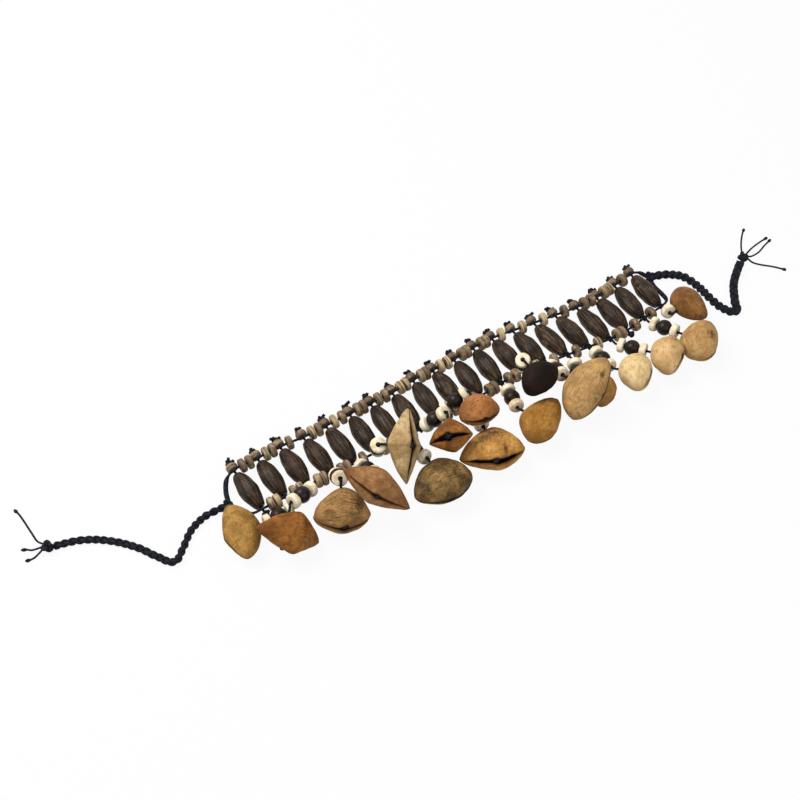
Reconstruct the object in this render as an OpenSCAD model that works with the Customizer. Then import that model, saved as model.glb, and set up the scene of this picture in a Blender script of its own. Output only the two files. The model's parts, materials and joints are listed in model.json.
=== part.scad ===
// Seed rattle anklet: a ladder band of wooden rung beads laced between two rail cords,
// with slit nut shells hanging from the lower rail and a braided tie at each end.
// It lies flat as on a table: X runs along the band, the shells lie towards -Y, Z is up.
// The origin is on the table under the middle of the band.

/* [Band] */
// Spacing of the rung beads along the band
pitch = 11.6; // [11.4:0.1:12.4]
// Length of a rung bead
rung_l = 20; // [18:0.5:22]
// Diameter of a rung bead at its middle
rung_d = 9; // [7:0.1:9.6]
// Diameter of a rung bead at its ends
rung_end_d = 4.6; // [4:0.1:4.8]
// Distance from a rung bead's end to the rail cord's centre
rail_offset = 2.2; // [2.1:0.1:3]

/* [Discs on the band] */
// Diameter of the discs on the rails
rail_disc_d = 6.6; // [5:0.1:6.8]
// Thickness of the discs on the rails
rail_disc_t = 2.6; // [2:0.1:2.7]
// Diameter of the cap disc above each rung
cap_d = 5.2; // [4:0.1:5.4]
// Thickness of the cap disc
cap_t = 3; // [2:0.1:3]

/* [Drops] */
// Diameter of the pale discs on a drop
drop_disc_d = 7; // [6:0.1:7.4]
// Thickness of the pale discs on a drop
drop_disc_t = 3; // [2.5:0.1:3.2]
// Diameter of the round bead between the pale discs
drop_bead_d = 7.6; // [6.5:0.1:7.8]

/* [Shells] */
// Wall of a nut shell at its middle
shell_wall = 1.4; // [1:0.1:2]
// Width of the slit at the middle of a shell
slit_w = 2.4; // [1:0.1:3]
// Width of a shell's ends, as a share of its middle
shell_tip = 0.16; // [0.1:0.02:0.3]

/* [Cords] */
// Diameter of the lacing cord
cord_d = 1.2; // [0.8:0.1:1.3]
// Diameter of the hole through every bead
bore_d = 2.2; // [2:0.1:2.4]
// Diameter of a tied knot
knot_d = 3.4; // [3:0.1:3.8]
// Diameter of the braided ties
tie_d = 3.6; // [3:0.1:4]
// Diameter of the knots at the ties' ends
tie_knot_d = 6; // [5:0.1:6.4]

/* [Fit] */
// Clearance between pieces that move past each other
clear = 0.3; // [0.2:0.05:0.4]
// Play between pieces threaded on one cord
play = 0.1; // [0.05:0.05:0.2]

/* [Hidden] */
$fn = 48;
cord_sides = 8;
rung_count = 20;
rung_z = rung_d / 2;
rail_z = rung_z + cord_d + play;
rail_half = rung_l / 2 + rail_offset;
band_half = rung_count / 2 * pitch;

// Sideways place of each rung's middle and its lean in degrees, from the band's gentle wave
rung_y = [1, 1, 1, 0, 0, 0, 0, 0, 1, 1, 1, 2, 2, 0.5, -1, -2.5, -4, -4, -2.5, -1];
rung_lean = [-3, -2, -2, -3, -2, 2, 0, 1, 3, 0, 2, 2, -1, -3, -4, -4, -3, 0, 3, 3];

// The band is seven links; each row is a link's first and last rung
LINK_NAMES = ["a", "b", "c", "d", "e", "f", "g"];
LINK_RUNGS = [[0, 2], [3, 4], [5, 7], [8, 10], [11, 14], [15, 16], [17, 19]];

// One row for each shell: rung, beads on its drop (3 or 1), drop yaw and pitch,
// shell yaw, pitch and roll, then its length, depth and thickness
SHELLS = [
    [1, 3, -90, 5, -100, 5, 0, 28, 17, 13],
    [2, 3, -66, 45, -35, -12, 32, 30, 19, 16],
    [3, 3, -10, 50, -30, -40, 15, 25, 20, 16],
    [4, 3, 6, 32, -30, 30, 35, 34, 19, 16],
    [5, 3, -11, 68, 60, -6, -35, 34, 15, 16],
    [6, 3, 15, 15, -5, -5, 0, 28, 21, 15],
    [7, 3, 35, 65, -25, -10, -20, 20, 16, 13],
    [8, 3, 60, 78, -12, 5, 0, 19, 16, 12],
    [9, 3, 0, 12, -20, 0, 0, 30, 21, 17],
    [12, 3, -20, 76, 10, -18, 0, 21, 15, 12],
    [11, 3, -15, 12, 30, 0, 0, 27, 18, 15],
    [13, 3, -10, 32, 20, 5, -33, 32, 19, 17],
    [14, 3, -24, 5, 42, -5, 0, 18, 13, 12],
    [15, 3, -4, 12, 45, 0, 0, 20, 16, 15],
    [16, 3, 32, 12, 42, 0, 0, 21, 16, 15],
    [18, 3, 22, 12, 35, 0, 0, 24, 18, 16],
    [19, 1, -12, 20, 92, 0, 0, 22, 15, 14]
];
SHELL_COLOURS = [
    "Wheat", "Peru", "Tan", "Sienna", "BurlyWood", "DarkKhaki",
    "Peru", "SaddleBrown", "SandyBrown", "SaddleBrown", "Goldenrod", "Tan",
    "Peru", "Wheat", "Tan", "Goldenrod", "Sienna"
];

// Routes of the rail cords' ends, which come down to the ties, and of the ties on the table.
// X is measured from that end of the band, so the routes stay with it
TOP_LEFT_END = [[-4, 2, 1.8], [-2.5, 7, 2.6], [0.5, 11.5, 4.2]];
BOTTOM_LEFT_END = [[-4, -0.5, 1.8], [-1.5, -4, 2.4], [1.5, -9.5, 3.8]];
TOP_RIGHT_END = [[-1, 10.5, 4.6], [2.5, 7.8, 2.2]];
BOTTOM_RIGHT_END = [[-1, -11, 4.6], [0.5, -6, 3.6], [1, 0, 2.6], [2.5, 5, 1.8]];
LEFT_TIE = [
    [-5, 0.8], [-9, 1], [-16, 1], [-24, -2], [-32, -9], [-37, -12],
    [-42, -6], [-47, 2], [-53, 9], [-60, 15], [-67, 19], [-73, 21], [-77, 22]
];
RIGHT_TIE = [
    [3.5, 6.5], [8, 5.5], [13, 3], [18, -2], [20, -11], [20, -20],
    [21, -28], [25, -33], [29, -28], [36, -19], [45, -12], [49, -9.5]
];
LEFT_STRANDS = [
    [[-82.5, 29], [-83, 34], [-84, 45], [-85, 49]],
    [[-86, 26], [-88, 27.5], [-90, 28.5]],
    [[-86.5, 22], [-88.5, 22], [-90.5, 22.5]]
];
RIGHT_STRANDS = [
    [[55, -4], [58, 0], [63, 5], [67, 8]],
    [[56, -6], [61, -4.5], [67, -3.5], [73, -3]],
    [[57, -8.5], [62, -8.5], [68, -6.5], [73.5, -5]],
    [[55, -12], [57, -15], [62, -20], [66, -25]]
];

function two(n) = n < 10 ? str("0", n) : str(n);
SHELL_NUMBERS = [for (k = [0 : len(SHELLS) - 1]) two(k + 1)];

// Places on the band
function unit(v) = v / norm(v);
function rung_middle(i) = [(i - (rung_count - 1) / 2) * pitch, rung_y[i], rung_z];
function rung_along(i) = [sin(rung_lean[i]), cos(rung_lean[i]), 0];
function rail_point(i, side) =
    [rung_middle(i)[0], rung_middle(i)[1], rail_z] + side * rail_half * rung_along(i);
function rail_points(side) = [for (i = [0 : rung_count - 1]) rail_point(i, side)];
function rail_along(i, side) =
    unit(rail_point(min(i + 1, rung_count - 1), side) - rail_point(max(i - 1, 0), side));
function from_end(points, end) =
    [for (p = points) [p[0] + end * band_half, each [for (k = [1 : len(p) - 1]) p[k]]]];
function on_table(points, d) = [for (p = points) [p[0], p[1], d / 2]];

// Distance along a rail from a rung's axis to the nearest face of a disc beside it
function disc_seat(i, side, along) =
    (rung_end_d / 2 + clear + play) / abs(cross(along, rung_along(i))[2])
    + rail_disc_d / 2 * abs(along * rung_along(i));

// Direction of a drop or shell from its yaw, away from -Y towards +X, and its pitch
function aim(yaw, pitch_up) =
    [sin(yaw) * cos(pitch_up), -cos(yaw) * cos(pitch_up), sin(pitch_up)];

// A drop leaves the rail square to it, then turns by its yaw; its stations run along it
function drop_lead(s) =
    rail_disc_d / 2 + clear + drop_bead_d / 2 * abs(sin(s[2])) - cord_d / 2 * cos(s[2]);
function drop_root(s) = rail_point(s[0], -1);
function drop_out(s) = aim(0, s[3]);
function drop_way(s) = cos(s[2]) * drop_out(s) + [sin(s[2]), 0, 0];
function drop_corner(s) = drop_root(s) + drop_lead(s) * drop_out(s);
function drop_end(s) =
    cord_d / 2 + drop_disc_t + (s[1] == 3 ? drop_bead_d + drop_disc_t + 2 * play : 0);
function drop_foot(s) = drop_corner(s) + drop_end(s) * drop_way(s);
function drop_bend(s) = norm(cross(drop_way(s), aim(s[4], s[5])));
function drop_turn(s) =
    drop_foot(s)
    + (cord_d / 2 + play + drop_disc_d / 2 * max(0, -drop_way(s) * aim(s[4], s[5]))) * drop_way(s);
function shell_back(s) =
    drop_turn(s) + (clear + drop_disc_d / 2 * drop_bend(s)) * aim(s[4], s[5]);
function knot_place(s) = shell_back(s) + (s[8] - knot_d / 2) * aim(s[4], s[5]);
function cord_stop(s) = knot_place(s) - (knot_d / 2 + play) * aim(s[4], s[5]);

// A tube swept along points, with its rings carried along without twist
function heading(p, k) = unit(p[k + 1] - p[k]);
function tangents(p) = [
    for (k = [0 : len(p) - 1])
        unit(heading(p, max(k - 1, 0)) + heading(p, min(k, len(p) - 2)))
];
function square_to(v, t) = unit(v - (v * t) * t);
function carried(t, v, k) =
    k == len(t) ? [] : concat([square_to(v, t[k])], carried(t, square_to(v, t[k]), k + 1));
function ring(p, t, v, r) = [
    for (j = [0 : cord_sides - 1])
        let (a = 360 / cord_sides * (j + 0.5))
        p + r * (cos(a) * v + sin(a) * cross(t, v))
];
function wall_faces(rings, n) = [
    for (k = [0 : rings - 2], j = [0 : n - 1], half = [0, 1])
        let (a = k * n + j, b = k * n + (j + 1) % n)
        half == 0 ? [a, a + n, b] : [b, a + n, b + n]
];
module tube(points, d, first_normal) {
    t = tangents(points);
    v = carried(t, first_normal, 0);
    n = cord_sides;
    last = (len(points) - 1) * n;
    rings = [for (k = [0 : len(points) - 1]) each ring(points[k], t[k], v[k], d / 2)];
    ends = [
        for (j = [1 : n - 2], side = [0, 1])
            side == 0 ? [0, j, j + 1] : [last, last + j + 1, last + j]
    ];
    polyhedron(rings, concat(wall_faces(len(points), n), ends));
}

// Beads, each standing on its cord's axis along Z from z = 0
module disc(d, t) {
    edge = t / 5;
    rotate_extrude()
        polygon([
            [bore_d / 2, 0], [d / 2 - edge, 0], [d / 2, edge],
            [d / 2, t - edge], [d / 2 - edge, t], [bore_d / 2, t]
        ]);
}
module round_bead() {
    difference() {
        translate([0, 0, drop_bead_d / 2]) sphere(d = drop_bead_d);
        translate([0, 0, -1]) cylinder(d = bore_d, h = drop_bead_d + 2);
    }
}
module rung_bead() {
    steps = 8;
    bulge = (rung_d - rung_end_d) / 2;
    outline = [
        for (k = [-steps : steps])
            [rung_d / 2 - bulge * pow(k / steps, 2), k / steps * rung_l / 2]
    ];
    rotate_extrude()
        polygon(concat([[bore_d / 2, -rung_l / 2]], outline, [[bore_d / 2, rung_l / 2]]));
}
module facing(direction) {
    flat = norm([direction[0], direction[1]]);
    rotate([0, atan2(flat, direction[2]), atan2(direction[1], direction[0])]) children();
}

// The rungs of one link
module rung_beads(link) {
    color("#3b2417")
        for (i = [LINK_RUNGS[link][0] : LINK_RUNGS[link][1]])
            translate(rung_middle(i)) facing(rung_along(i)) rung_bead();
}

// The discs that one link carries: one on each side of every rung on both rails, and the caps
module rail_disc(i, side, step) {
    here = rail_point(i, side);
    gap = rail_point(i + step, side) - here;
    along = unit(gap);
    seat = disc_seat(i, side, along);
    other = disc_seat(i + step, side, along);
    room = norm(gap) - seat - other;
    if (room > 2 * rail_disc_t + play || (step > 0 && room > rail_disc_t))
        translate(here + seat * along) facing(along) disc(rail_disc_d, rail_disc_t);
}
module cap(i) {
    slope = abs(rail_along(i, 1) * rung_along(i));
    past_rail = rail_half + cord_d / 2 + play + cap_d / 2 * slope;
    translate(rung_middle(i) + past_rail * rung_along(i)) facing(rung_along(i)) disc(cap_d, cap_t);
}
module rail_discs(link) {
    color("#6b4a2f")
        for (i = [LINK_RUNGS[link][0] : LINK_RUNGS[link][1]]) {
            cap(i);
            for (side = [-1, 1]) {
                if (i > 0) rail_disc(i, side, -1);
                if (i < rung_count - 1) rail_disc(i, side, 1);
            }
        }
}

// The cords through one link's rungs, knotted above the caps, and below where no drop hangs
function has_drop(i) = len([for (s = SHELLS) if (s[0] == i) s]) > 0;
module rung_cord(i) {
    slope = abs(rail_along(i, 1) * rung_along(i));
    above = rail_half + cord_d / 2 + 2 * play + cap_d / 2 * slope + cap_t;
    below = has_drop(i) ? rung_l / 2 - cord_d / 2 : rail_half + cord_d / 2 + play;
    translate(rung_middle(i)) facing(rung_along(i)) {
        translate([0, 0, -below]) cylinder(d = cord_d, h = above + below + knot_d / 2);
        translate([0, 0, above + knot_d / 2]) sphere(d = knot_d);
        if (!has_drop(i)) translate([0, 0, -below - knot_d / 2 + play]) sphere(d = knot_d);
    }
}
module rung_cords(link) {
    color("#17161a")
        for (i = [LINK_RUNGS[link][0] : LINK_RUNGS[link][1]]) rung_cord(i);
}

// One drop: its cord, looped round the lower rail, and the beads threaded on it
module drop_cord(s) {
    along = rail_along(s[0], -1);
    away = drop_out(s);
    over = cross(along, away);
    loop_r = cord_d + play;
    loop = [
        for (a = [-300 : 30 : -30])
            drop_root(s) + loop_r * (cos(a) * away + sin(a) * over)
    ];
    start = drop_root(s) + (loop_r + cord_d / 2) * away;
    route = concat(
        loop, [start, drop_corner(s), drop_foot(s), drop_turn(s), shell_back(s), cord_stop(s)]);
    tube(route, cord_d, along);
    translate(knot_place(s)) sphere(d = knot_d);
}
module drop(k) {
    s = SHELLS[k];
    after_disc = cord_d / 2 + drop_disc_t + play;
    color("#17161a") drop_cord(s);
    translate(drop_corner(s)) facing(drop_way(s)) {
        color("#e8dcc0") translate([0, 0, cord_d / 2]) disc(drop_disc_d, drop_disc_t);
        if (s[1] == 3) {
            color("#2a1a12") translate([0, 0, after_disc]) round_bead();
            color("#e8dcc0") translate([0, 0, after_disc + drop_bead_d + play])
                disc(drop_disc_d, drop_disc_t);
        }
    }
}

// One hollow nut shell, from its back at the origin towards -Y, with its long axis along X
shell_rings = 11;
shell_points = 9;
function shell_width(u) =
    shell_tip + (1 - shell_tip) * pow(1 - pow(abs(u), 1.8), 0.65);
function shell_section(x, u, depth, half_d, half_t, slit) = [
    for (j = [0 : shell_points - 1])
        let (a = slit + (360 - 2 * slit) * j / (shell_points - 1), w = shell_width(u))
        [x, -depth / 2 - w * half_d * cos(a), w * half_t * sin(a)]
];
module shell_body(l, depth, thick) {
    slit = asin(slit_w / thick);
    n = 2 * shell_points;
    m = shell_points;
    last = (shell_rings - 1) * n;
    rings = [
        for (k = [0 : shell_rings - 1])
            let (
                u = sin(90 * (2 * k / (shell_rings - 1) - 1)),
                outer = shell_section(u * l / 2, u, depth, depth / 2, thick / 2, slit),
                inner = shell_section(
                    u * l / 2, u, depth, depth / 2 - shell_wall, thick / 2 - shell_wall, slit)
            )
            each concat(outer, [for (j = [m - 1 : -1 : 0]) inner[j]])
    ];
    ends = [
        for (j = [0 : m - 2], end = [0, 1], half = [0, 1])
            let (o = j + end * last, q = n - 1 - j + end * last)
            let (f = half == 0 ? [o, o + 1, q] : [o + 1, q - 1, q])
            end == 0 ? f : [f[0], f[2], f[1]]
    ];
    polyhedron(rings, concat(wall_faces(shell_rings, n), ends));
}
module shell(k) {
    s = SHELLS[k];
    color(SHELL_COLOURS[k])
        translate(shell_back(s))
            rotate([0, 0, s[4]]) rotate([-s[5], 0, 0]) rotate([0, s[6], 0])
                difference() {
                    shell_body(s[7], s[8], s[9]);
                    rotate([90, 0, 0]) translate([0, 0, -1])
                        cylinder(d = bore_d, h = s[8] / 2, $fn = cord_sides);
                    rotate([90, 0, 0]) translate([0, 0, s[8] - knot_d])
                        cylinder(d = knot_d + 2 * clear, h = knot_d + 1, $fn = cord_sides);
                }
}

// The two rail cords, each whole from end to end
module rail_cord(left_end, side, right_end) {
    color("#17161a")
        tube(
            concat(from_end(left_end, -1), rail_points(side), from_end(right_end, 1)),
            cord_d, [0, 0, 1]);
}
module top_rail_cord() { rail_cord(TOP_LEFT_END, 1, TOP_RIGHT_END); }
module bottom_rail_cord() { rail_cord(BOTTOM_LEFT_END, -1, BOTTOM_RIGHT_END); }

// A braided tie with the knot at its end and the loose strands that come out of the knot
module tie(route, strands) {
    reach = tie_knot_d / 2 + play;
    last = len(route) - 1;
    knot = route[last] + reach * heading(route, last - 1);
    color("#17161a") {
        tube(on_table(route, tie_d), tie_d, [0, 0, 1]);
        translate([knot[0], knot[1], tie_knot_d / 2]) sphere(d = tie_knot_d);
        for (s = strands) {
            out = knot + reach * unit(s[0] - knot);
            tube(concat([[out[0], out[1], tie_knot_d / 2]], on_table(s, cord_d)), cord_d, [0, 0, 1]);
        }
    }
}
module left_tie() { tie(from_end(LEFT_TIE, -1), [for (s = LEFT_STRANDS) from_end(s, -1)]); }
module right_tie() { tie(from_end(RIGHT_TIE, 1), [for (s = RIGHT_STRANDS) from_end(s, 1)]); }

for (k = [0 : len(LINK_NAMES) - 1]) {
    rung_beads(k);
    rail_discs(k);
    rung_cords(k);
}
for (k = [0 : len(SHELLS) - 1]) {
    drop(k);
    shell(k);
}
top_rail_cord();
bottom_rail_cord();
left_tie();
right_tie();
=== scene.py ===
"""Dresses the seed rattle anklet: wood beads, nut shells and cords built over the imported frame."""

import functools
import itertools
import json
import math
import random
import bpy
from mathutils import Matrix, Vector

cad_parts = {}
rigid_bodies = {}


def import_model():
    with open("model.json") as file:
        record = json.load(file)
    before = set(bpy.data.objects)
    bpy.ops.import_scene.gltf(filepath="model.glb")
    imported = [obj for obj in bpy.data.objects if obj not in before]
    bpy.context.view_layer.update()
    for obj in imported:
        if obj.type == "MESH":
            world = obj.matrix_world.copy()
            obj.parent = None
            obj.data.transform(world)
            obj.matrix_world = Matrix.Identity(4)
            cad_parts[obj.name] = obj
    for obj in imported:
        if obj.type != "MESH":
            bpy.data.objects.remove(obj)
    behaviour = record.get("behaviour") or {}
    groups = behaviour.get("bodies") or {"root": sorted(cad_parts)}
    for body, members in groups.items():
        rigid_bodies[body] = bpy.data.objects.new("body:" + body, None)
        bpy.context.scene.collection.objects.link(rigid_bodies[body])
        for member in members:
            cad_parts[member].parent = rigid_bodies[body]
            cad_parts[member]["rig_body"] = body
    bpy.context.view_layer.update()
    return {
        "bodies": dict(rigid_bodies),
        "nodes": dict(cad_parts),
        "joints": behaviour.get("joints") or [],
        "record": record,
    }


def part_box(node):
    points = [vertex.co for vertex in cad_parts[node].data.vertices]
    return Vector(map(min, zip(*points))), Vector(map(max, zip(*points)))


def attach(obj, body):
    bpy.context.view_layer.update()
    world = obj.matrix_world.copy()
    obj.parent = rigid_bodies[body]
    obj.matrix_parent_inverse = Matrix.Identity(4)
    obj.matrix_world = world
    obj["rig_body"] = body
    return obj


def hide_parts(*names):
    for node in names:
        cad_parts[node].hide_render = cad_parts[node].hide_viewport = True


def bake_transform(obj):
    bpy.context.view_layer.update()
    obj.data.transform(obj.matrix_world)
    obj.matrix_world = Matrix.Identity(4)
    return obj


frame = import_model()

from types import SimpleNamespace

import bmesh
import bpy
from bpy.props import FloatProperty, FloatVectorProperty, PointerProperty
from mathutils import Matrix, Vector, geometry, noise

bl_info = {
    "name": "Seed rattle anklet",
    "version": (1, 0, 0),
    "blender": (4, 5, 0),
    "location": "View3D > Sidebar > Anklet",
    "description": "Builds the anklet's beads, nut shells and cords around the packed frame",
    "category": "Add Mesh",
}

MM = 0.001

# Sideways place of each rung's middle in millimetres, and its lean in degrees
RUNG_Y = (1, 1, 1, 0, 0, 0, 0, 0, 1, 1, 1, 2, 2, 0.5, -1, -2.5, -4, -4, -2.5, -1)
RUNG_LEAN = (-3, -2, -2, -3, -2, 2, 0, 1, 3, 0, 2, 2, -1, -3, -4, -4, -3, 0, 3, 3)
RUNG_COUNT = len(RUNG_Y)

# First and last rung of each link of the band
LINKS = {"a": (0, 2), "b": (3, 4), "c": (5, 7), "d": (8, 10), "e": (11, 14), "f": (15, 16), "g": (17, 19)}

# One row for each shell: rung, beads on its drop, drop yaw and pitch,
# shell yaw, pitch and roll in degrees, then its length, depth and thickness in millimetres
SHELLS = (
    (1, 3, -90, 5, -100, 5, 0, 28, 17, 13),
    (2, 3, -66, 45, -35, -12, 32, 30, 19, 16),
    (3, 3, -10, 50, -30, -40, 15, 25, 20, 16),
    (4, 3, 6, 32, -30, 30, 35, 34, 19, 16),
    (5, 3, -11, 68, 60, -6, -35, 34, 15, 16),
    (6, 3, 15, 15, -5, -5, 0, 28, 21, 15),
    (7, 3, 35, 65, -25, -10, -20, 20, 16, 13),
    (8, 3, 60, 78, -12, 5, 0, 19, 16, 12),
    (9, 3, 0, 12, -20, 0, 0, 30, 21, 17),
    (12, 3, -20, 76, 10, -18, 0, 21, 15, 12),
    (11, 3, -15, 12, 30, 0, 0, 27, 18, 15),
    (13, 3, -10, 32, 20, 5, -33, 32, 19, 17),
    (14, 3, -24, 5, 42, -5, 0, 18, 13, 12),
    (15, 3, -4, 12, 45, 0, 0, 20, 16, 15),
    (16, 3, 32, 12, 42, 0, 0, 21, 16, 15),
    (18, 3, 22, 12, 35, 0, 0, 24, 18, 16),
    (19, 1, -12, 20, 92, 0, 0, 22, 15, 14),
)
SHELL_FIELDS = (
    "rung", "beads", "drop_yaw", "drop_pitch", "yaw", "pitch", "roll", "length", "depth", "thick",
)

# Looks of each shell: slot, colour, deeper colour, fibre, smudge, gape of the slit, turn of the slit
# round the shell in degrees, place of the cross crest along it and how round it is over the crest
LOOKS = (
    ("shell_pale", (0.40, 0.22, 0.058), (0.22, 0.108, 0.025), 0.40, 0.30, 0.4, 0, 0.05, 1.6),
    ("shell_orange", (0.31, 0.125, 0.026), (0.15, 0.053, 0.010), 0.60, 0.35, 0.2, -30, 0.25, 1.15),
    ("shell_tan", (0.44, 0.245, 0.09), (0.20, 0.10, 0.034), 0.95, 0.45, 0.35, 42, 0.10, 1.7),
    ("shell_red", (0.35, 0.175, 0.068), (0.20, 0.085, 0.03), 0.60, 0.30, 0.3, 0, -0.05, 1.25),
    ("shell_pale", (0.55, 0.39, 0.20), (0.34, 0.21, 0.085), 0.50, 0.30, 0.5, 60, 0.00, 1.05),
    ("shell_grey", (0.29, 0.17, 0.058), (0.075, 0.043, 0.014), 0.80, 0.75, 0.3, 5, 0.10, 1.9),
    ("shell_orange", (0.32, 0.125, 0.028), (0.14, 0.05, 0.011), 0.60, 0.35, 0.7, 70, 0.10, 1.2),
    ("shell_red", (0.40, 0.162, 0.052), (0.23, 0.085, 0.025), 0.45, 0.25, 0.5, 10, 0.00, 1.9),
    ("shell_orange", (0.60, 0.31, 0.085), (0.36, 0.16, 0.038), 0.45, 0.30, 1.0, 26, 0.15, 1.5),
    # Shell 10's colour and deeper colour are near-black as painted shade, for a shell that lies in the
    # shadow of its neighbours
    ("shell_dark", (0.013, 0.005, 0.002), (0.006, 0.003, 0.0015), 0.50, 0.30, 0.6, 0, 0.00, 1.8),
    ("shell_gold", (0.40, 0.195, 0.042), (0.25, 0.11, 0.02), 0.45, 0.25, 0.3, -10, -0.30, 1.7),
    ("shell_tan", (0.52, 0.31, 0.12), (0.32, 0.18, 0.065), 0.50, 0.40, 0.3, 0, -0.10, 1.9),
    ("shell_orange", (0.45, 0.24, 0.07), (0.28, 0.13, 0.034), 0.50, 0.25, 0.5, 0, 0.00, 1.8),
    ("shell_pale", (0.75, 0.56, 0.29), (0.58, 0.39, 0.17), 0.35, 0.10, 0.3, 18, 0.15, 2.0),
    ("shell_tan", (0.68, 0.46, 0.22), (0.49, 0.29, 0.115), 0.40, 0.25, 0.3, 18, 0.20, 2.0),
    ("shell_gold", (0.57, 0.35, 0.14), (0.38, 0.21, 0.075), 0.45, 0.35, 0.3, 0, -0.25, 1.8),
    ("shell_red", (0.29, 0.135, 0.042), (0.14, 0.058, 0.017), 0.45, 0.20, 0.3, -20, 0.25, 1.9),
)
LOOK_FIELDS = ("slot", "colour", "deep", "fibre", "smudge", "gape", "turn", "ridge", "round")

# Charred and grimy marks by shell number: place along and round the shell, reach along and round
# it, and depth; the upper side is at -0.5 round, between the upper lip at -1 and the back at 0
MARKS = {
    1: ((-0.6, -0.75, 0.20, 0.14, 0.7),),
    2: ((0.75, -0.5, 0.20, 0.30, 0.5),),
    3: ((0.35, -0.65, 0.25, 0.18, 0.8), (0.05, -0.4, 0.30, 0.15, 0.6)),
    4: ((-0.2, -0.3, 0.25, 0.15, 0.5),),
    6: ((-0.5, -0.6, 0.40, 0.25, 0.7), (0.2, -0.3, 0.40, 0.20, 0.6)),
    9: ((-0.05, -0.58, 0.42, 0.14, 1.0), (0.22, -0.85, 0.06, 0.12, 1.2)),
    12: ((0.35, -0.75, 0.10, 0.08, 1.1), (-0.4, -0.6, 0.35, 0.25, 0.5)),
    15: ((0.45, -0.70, 0.20, 0.15, 0.8), (0.0, -0.7, 0.12, 0.10, 0.6)),
    16: ((0.0, -0.70, 0.22, 0.16, 0.9), (0.6, -0.3, 0.25, 0.20, 0.5)),
}

# Routes in millimetres of the rail cords' ends, the ties on the table and their loose strands;
# X is measured from that end of the band
TOP_LEFT_END = ((-4, 2, 1.8), (-2.5, 7, 2.6), (0.5, 11.5, 4.2))
BOTTOM_LEFT_END = ((-4, -0.5, 1.8), (-1.5, -4, 2.4), (1.5, -9.5, 3.8))
TOP_RIGHT_END = ((-1, 10.5, 4.6), (2.5, 7.8, 2.2))
BOTTOM_RIGHT_END = ((-1, -11, 4.6), (0.5, -6, 3.6), (1, 0, 2.6), (2.5, 5, 1.8))
LEFT_TIE = (
    (-5, 0.8), (-9, 1), (-16, 1), (-24, -2), (-32, -9), (-37, -12),
    (-42, -6), (-47, 2), (-53, 9), (-60, 15), (-67, 19), (-73, 21), (-77, 22),
)
RIGHT_TIE = (
    (3.5, 6.5), (8, 5.5), (13, 3), (18, -2), (20, -11), (20, -20),
    (21, -28), (25, -33), (29, -28), (36, -19), (45, -12), (49, -9.5),
)
LEFT_STRANDS = (
    ((-82.5, 29), (-83, 34), (-84, 45), (-85, 49)),
    ((-86, 26), (-88, 27.5), (-90, 28.5)),
    ((-86.5, 22), (-88.5, 22), (-90.5, 22.5)),
)
RIGHT_STRANDS = (
    ((55, -4), (58, 0), (63, 5), (67, 8)),
    ((56, -6), (61, -4.5), (67, -3.5), (73, -3)),
    ((57, -8.5), (62, -8.5), (68, -6.5), (73.5, -5)),
    ((55, -12), (57, -15), (62, -20), (66, -25)),
)

# Thickness of the two drawn braids as shares of the tie's, then of their three strands, and how far
# those swing sideways and up in the room that the braid leaves them
LEFT_BRAID = 0.94
RIGHT_BRAID = 1.15
BRAID_STRAND = 0.5
BRAID_WIDE = 0.54
BRAID_HIGH = 0.42

# Length over which a braid draws together at its start, and of its slack and tight stretches
BRAID_START = 4 * MM
BRAID_SLACK = 11 * MM

# Thickness of a loose strand as a share of the cord's, and swell of its tip by points back from its end
STRAND_THICK = 0.76
STRAND_TIP = ((2, 1.5), (3, 1.9), (4, 1.7), (5, 1.2))

# Sides of a drawn cord, and spacing of the points along it
CORD_SIDES = 8
CORD_STEP = 0.5 * MM
RAIL_STEP = 0.7 * MM

# Where a rail cord is doubled up: past the last rung, over a short ease, and how much thicker
DOUBLED_PAST = 4 * MM
DOUBLED_EASE = 2 * MM
DOUBLED_MORE = 0.9

# Rungs whose wood shows the most tan, and the share of streaks on them and on the others
STREAKED_RUNGS = (9, 14, 19)
STREAKED = 0.9
PLAIN = 0.4

# Cut ends of the knots above the caps
KNOT_TAIL = 2.2 * MM

# Seeds of the random knots and discs
KNOT_SEED = 4
DISC_SEED = 11

# Unevenness of the turned beads: width of its bumps, and count round and length of its flutes
BUMP_WIDE = 4 * MM
FLUTES_ROUND = 2.4
FLUTE_LENGTH = 22 * MM

# A shell's sheet: points along and round it, how near they are joined, how far its slit reaches from
# crest to tip, its drilled notch, and the height and width of its lumps and pits
SHELL_GRID = (46, 36)
MERGE = 0.02 * MM
SLIT_REACH = 0.93
NOTCH_WIDE = 1.5 * MM
NOTCH_DEEP = 1.0 * MM
LUMPS = (0.55 * MM, 8 * MM)
PITS = (0.2 * MM, 2.5 * MM)

# Lamps: name, place and width in metres, and power in watts
LAMPS = (
    ("key", (-0.35, 0.45, 0.9), 0.7, 13.0),
    ("fill", (0.1, -0.9, 0.7), 0.9, 4.0),
)

# Floor's half-width in metres, its paint and the share of white that the eye sees on it; the sky's light
FLOOR_HALF = 6
FLOOR_PAINT = (0.6, 0.6, 0.6)
FLOOR_GLOW = 0.93
SKY_LIGHT = 0.45


def length(name, description, millimetres):
    """A length property given in millimetres and kept in metres."""
    return FloatProperty(
        name=name, description=description, default=millimetres * MM, unit="LENGTH", precision=5)


def colour(name, description, rgb):
    """A colour property in linear red, green and blue."""
    return FloatVectorProperty(
        name=name, description=description, default=rgb, subtype="COLOR", min=0, max=1)


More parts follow.
